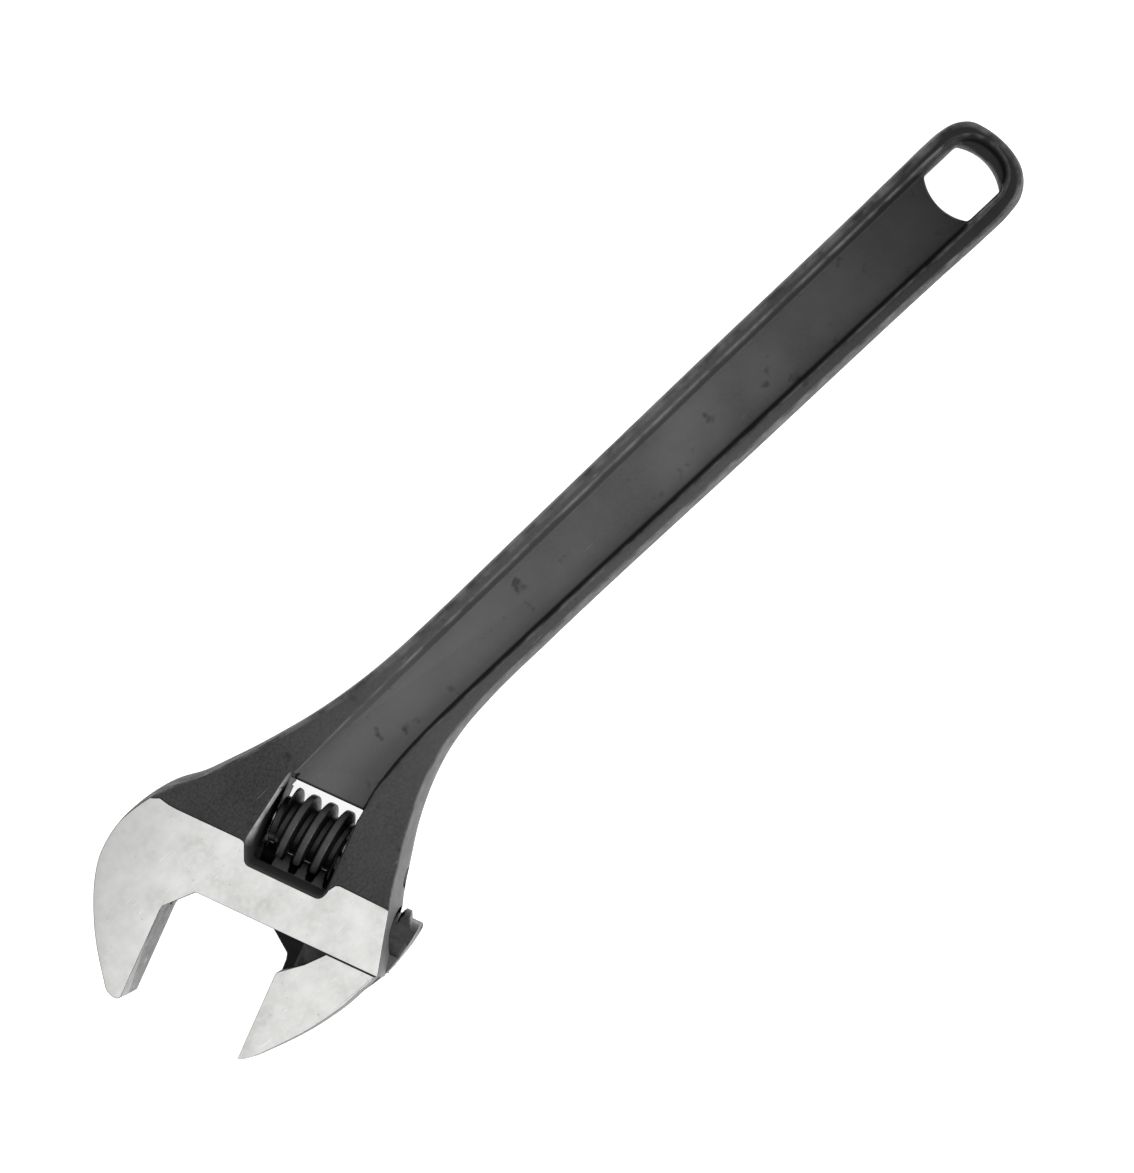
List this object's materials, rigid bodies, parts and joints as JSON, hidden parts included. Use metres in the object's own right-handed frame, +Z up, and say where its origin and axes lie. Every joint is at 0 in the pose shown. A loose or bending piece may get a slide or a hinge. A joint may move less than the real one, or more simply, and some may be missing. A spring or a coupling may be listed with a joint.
{
  "type": "adjustable wrench",
  "caption": "Adjustable wrench with an angled head, a screw-driven sliding jaw on a rack bar and a ribbed handle with a hanging hole.",
  "frame": {"origin": "on the ground underside of the head, below the point where the rack bar's axis crosses the handle's centre line", "axes": "+X along the handle from the head to its round end, +Y to the fixed jaw's side, +Z up through the thickness; the jaw opens along (0.38268, -0.92388, 0)"},
  "size_m": [0.45, 0.1082, 0.028],
  "materials": {
    "forged_black": "black phosphate on forged steel, head faces ground bright",
    "ground_steel": "ground bright, rack bar left dark",
    "worm_black": "black oxide, finely knurled crest",
    "pin_steel": "blackened, slotted end",
    "spring_steel": "drawn wire"
  },
  "bodies": {
    "handle": {"body": "forged_black", "worm_pin": "pin_steel", "worm_spring": "spring_steel"},
    "jaw": {"sliding_jaw": "ground_steel"},
    "screw": {"worm": "worm_black"}
  },
  "joints": [
    {"name": "jaw_slide", "type": "slide", "parent": "handle", "child": "jaw", "axis": [0.3827, -0.9239, 0], "range_m": [-0.0485, 0.0044]},
    {"name": "worm_spin", "type": "hinge", "parent": "handle", "child": "screw", "pos_m": [0.02524, -0.00919, 0.014], "axis": [0.3827, -0.9239, 0], "range_deg": [-2500, 230]}
  ],
  "couplings": [
    {"joint": "worm_spin", "follows": "jaw_slide", "rad_per_m": 897.6}
  ]
}
